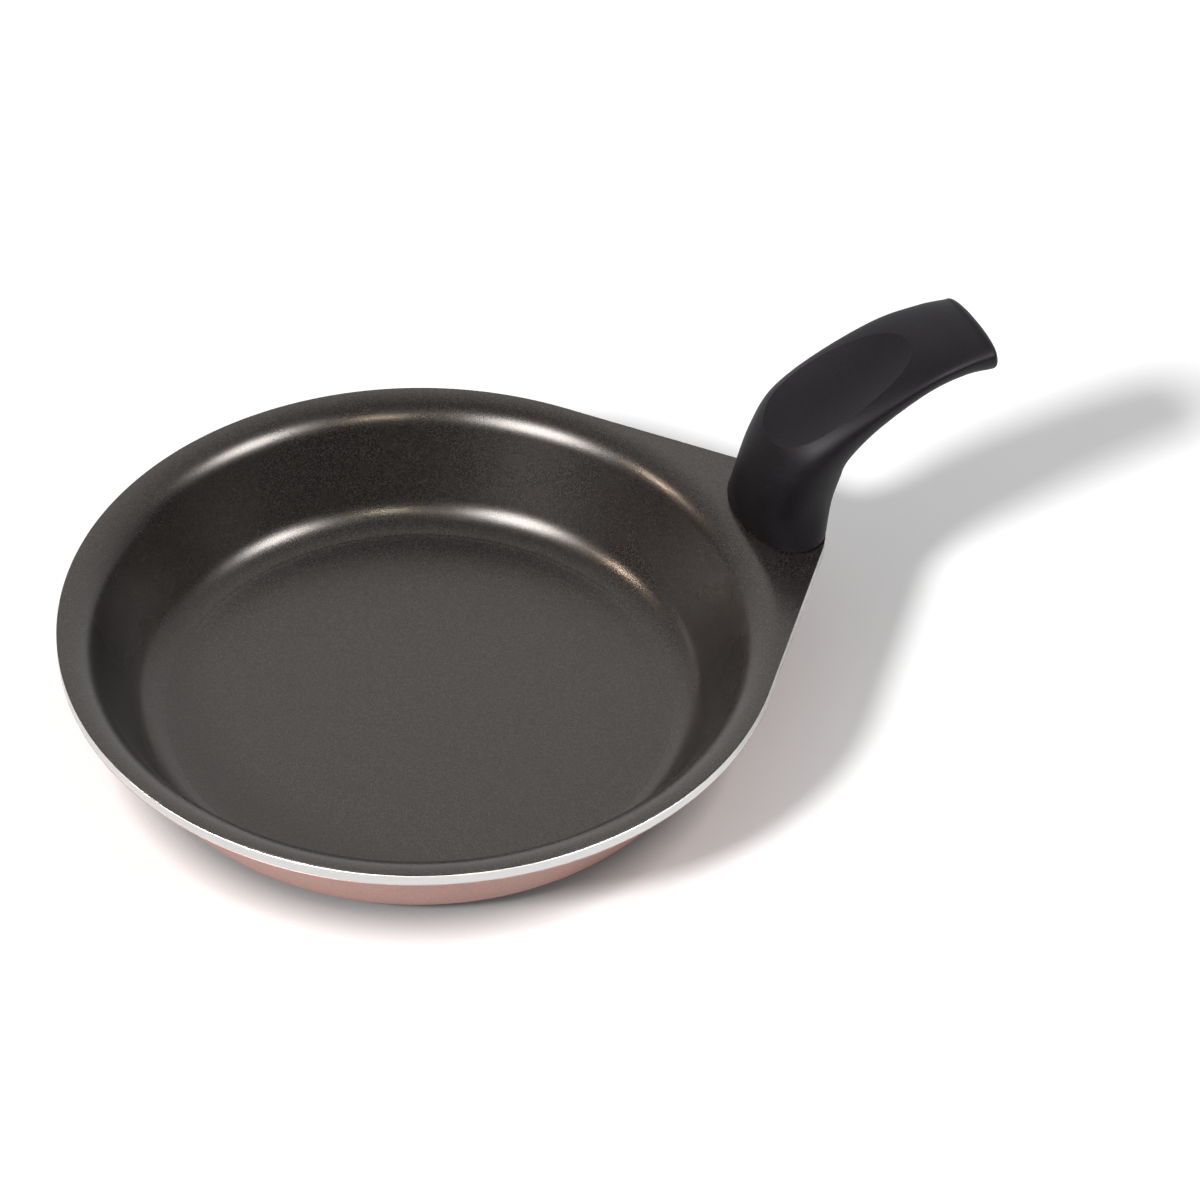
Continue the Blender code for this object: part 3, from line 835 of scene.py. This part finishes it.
close = maths(tree, "LESS_THAN", rays.outputs["Ray Length"], CLEAR_REACH)
open_side = maths(tree, "MAXIMUM", node(tree, "NewGeometry").outputs["Backfacing"], close)
mixed = node(tree, "MixShader", {0: open_side, 1: shader.outputs[0], 2: clear.outputs[0]})
tree.links.new(mixed.outputs[0], tree.nodes["Material Output"].inputs["Surface"])
table.data.materials.append(pale_table)

# The studio: a white sweep behind the pan that falls off towards a dark room in front, soft
# light from above, and a main soft light from the left with a weak one from the front right.
# The sheen lamps are only mirrored in the pan, and the room is pale underneath for its base.
SWEEP_SIDE = Vector((0.50, 0.81, 0.31)).normalized()
SWEEP_START = 0.15
SWEEP_END = 0.85
SWEEP_LOW = 0.06
SWEEP_HIGH = 1.30
UNDER_SHINE = 0.6
SIDE_AMBIENT = 0.228
TOP_AMBIENT = 0.456

studio = bpy.data.worlds.new("studio")
studio.use_nodes = True
bpy.context.scene.world = studio
tree = studio.node_tree
rays = node(tree, "LightPath")
direction = node(tree, "TexCoord").outputs["Generated"]
facing = node(tree, "VectorMath", {0: direction, 1: SWEEP_SIDE}, operation="DOT_PRODUCT")
sweep = node(tree, "MapRange", {
    "Value": facing.outputs["Value"], "From Min": SWEEP_START, "From Max": SWEEP_END,
    "To Min": SWEEP_LOW, "To Max": SWEEP_HIGH})
upwards = node(tree, "SeparateXYZ", {0: direction}).outputs["Z"]
under = maths(tree, "MULTIPLY", maths(tree, "LESS_THAN", upwards, 0.0), UNDER_SHINE)
mirrored = maths(tree, "MAXIMUM", sweep.outputs[0], under)
overhead = between(tree, upwards, SIDE_AMBIENT, TOP_AMBIENT)
seen = maths(tree, "MAXIMUM", rays.outputs["Is Camera Ray"], rays.outputs["Is Transmission Ray"])
shine = maths(tree, "MULTIPLY", rays.outputs["Is Glossy Ray"], maths(tree, "SUBTRACT", 1.0, seen))
rest = maths(tree, "SUBTRACT", 1.0, maths(tree, "ADD", seen, shine))
level = maths(tree, "MULTIPLY_ADD", shine, mirrored, seen)
level = maths(tree, "MULTIPLY_ADD", rest, overhead, level)
background = tree.nodes["Background"]
tree.links.new(level, background.inputs["Strength"])
background.inputs["Color"].default_value = (1.0, 1.0, 1.0, 1.0)


def soft_sun(name, azimuth, elevation, share, width, colour=(1.0, 1.0, 1.0)):
    """A distant soft light that gives a level floor a share of its full brightness."""
    lamp = bpy.data.lights.new(name, "SUN")
    lamp.energy = share * math.pi / math.sin(math.radians(elevation))
    lamp.angle = math.radians(width)
    lamp.color = colour
    made = bpy.data.objects.new(name, lamp)
    flat = math.cos(math.radians(elevation))
    source = Vector((
        flat * math.cos(math.radians(azimuth)),
        flat * math.sin(math.radians(azimuth)),
        math.sin(math.radians(elevation)),
    ))
    made.rotation_mode = "QUATERNION"
    made.rotation_quaternion = source.to_track_quat("Z", "Y")
    bpy.context.scene.collection.objects.link(made)
    return made


# Name, azimuth and elevation in degrees, share of the brightness, width in degrees and colour
soft_sun("main_light", -163.0, 38.0, 0.61, 10.0).visible_glossy = False
soft_sun("side_light", -56.0, 36.0, 0.06, 12.0).visible_glossy = False
soft_sun("main_sheen", -157.0, 41.6, 1.10, 26.0).visible_diffuse = False
soft_sun("side_sheen", -51.3, 43.6, 0.66, 19.0).visible_diffuse = False
soft_sun("lamp_sheen", 157.3, 33.9, 0.15, 5.0, (1.0, 0.80, 0.62)).visible_diffuse = False
soft_sun("front_sheen", -99.8, 47.0, 0.125, 6.0, (1.0, 0.92, 0.68)).visible_diffuse = False

# The camera stands in front of the pan and to its left, 1.25 m away, and looks down on it at
# 42 degrees through a long lens, rolled a little to one side.
AIM = Vector((0.04385, -0.01238, 0.0324))
DISTANCE = 1.24991
AZIMUTH = math.radians(-26.589)
ELEVATION = math.radians(42.02)
ROLL = math.radians(1.5)

lens = bpy.data.cameras.new("camera")
lens.lens = 150.0
lens.sensor_width = 36.0
lens.sensor_fit = "HORIZONTAL"
lens.clip_start = 0.01
lens.clip_end = 50.0
camera = bpy.data.objects.new("camera", lens)
bpy.context.scene.collection.objects.link(camera)
back = Vector((
    math.sin(AZIMUTH) * math.cos(ELEVATION),
    -math.cos(AZIMUTH) * math.cos(ELEVATION),
    math.sin(ELEVATION),
))
camera.location = AIM + back * DISTANCE
camera.rotation_mode = "QUATERNION"
camera.rotation_quaternion = back.to_track_quat("Z", "Y") @ Quaternion((0, 0, 1), ROLL)
bpy.context.scene.camera = camera
bpy.context.scene.view_settings.view_transform = "Standard"
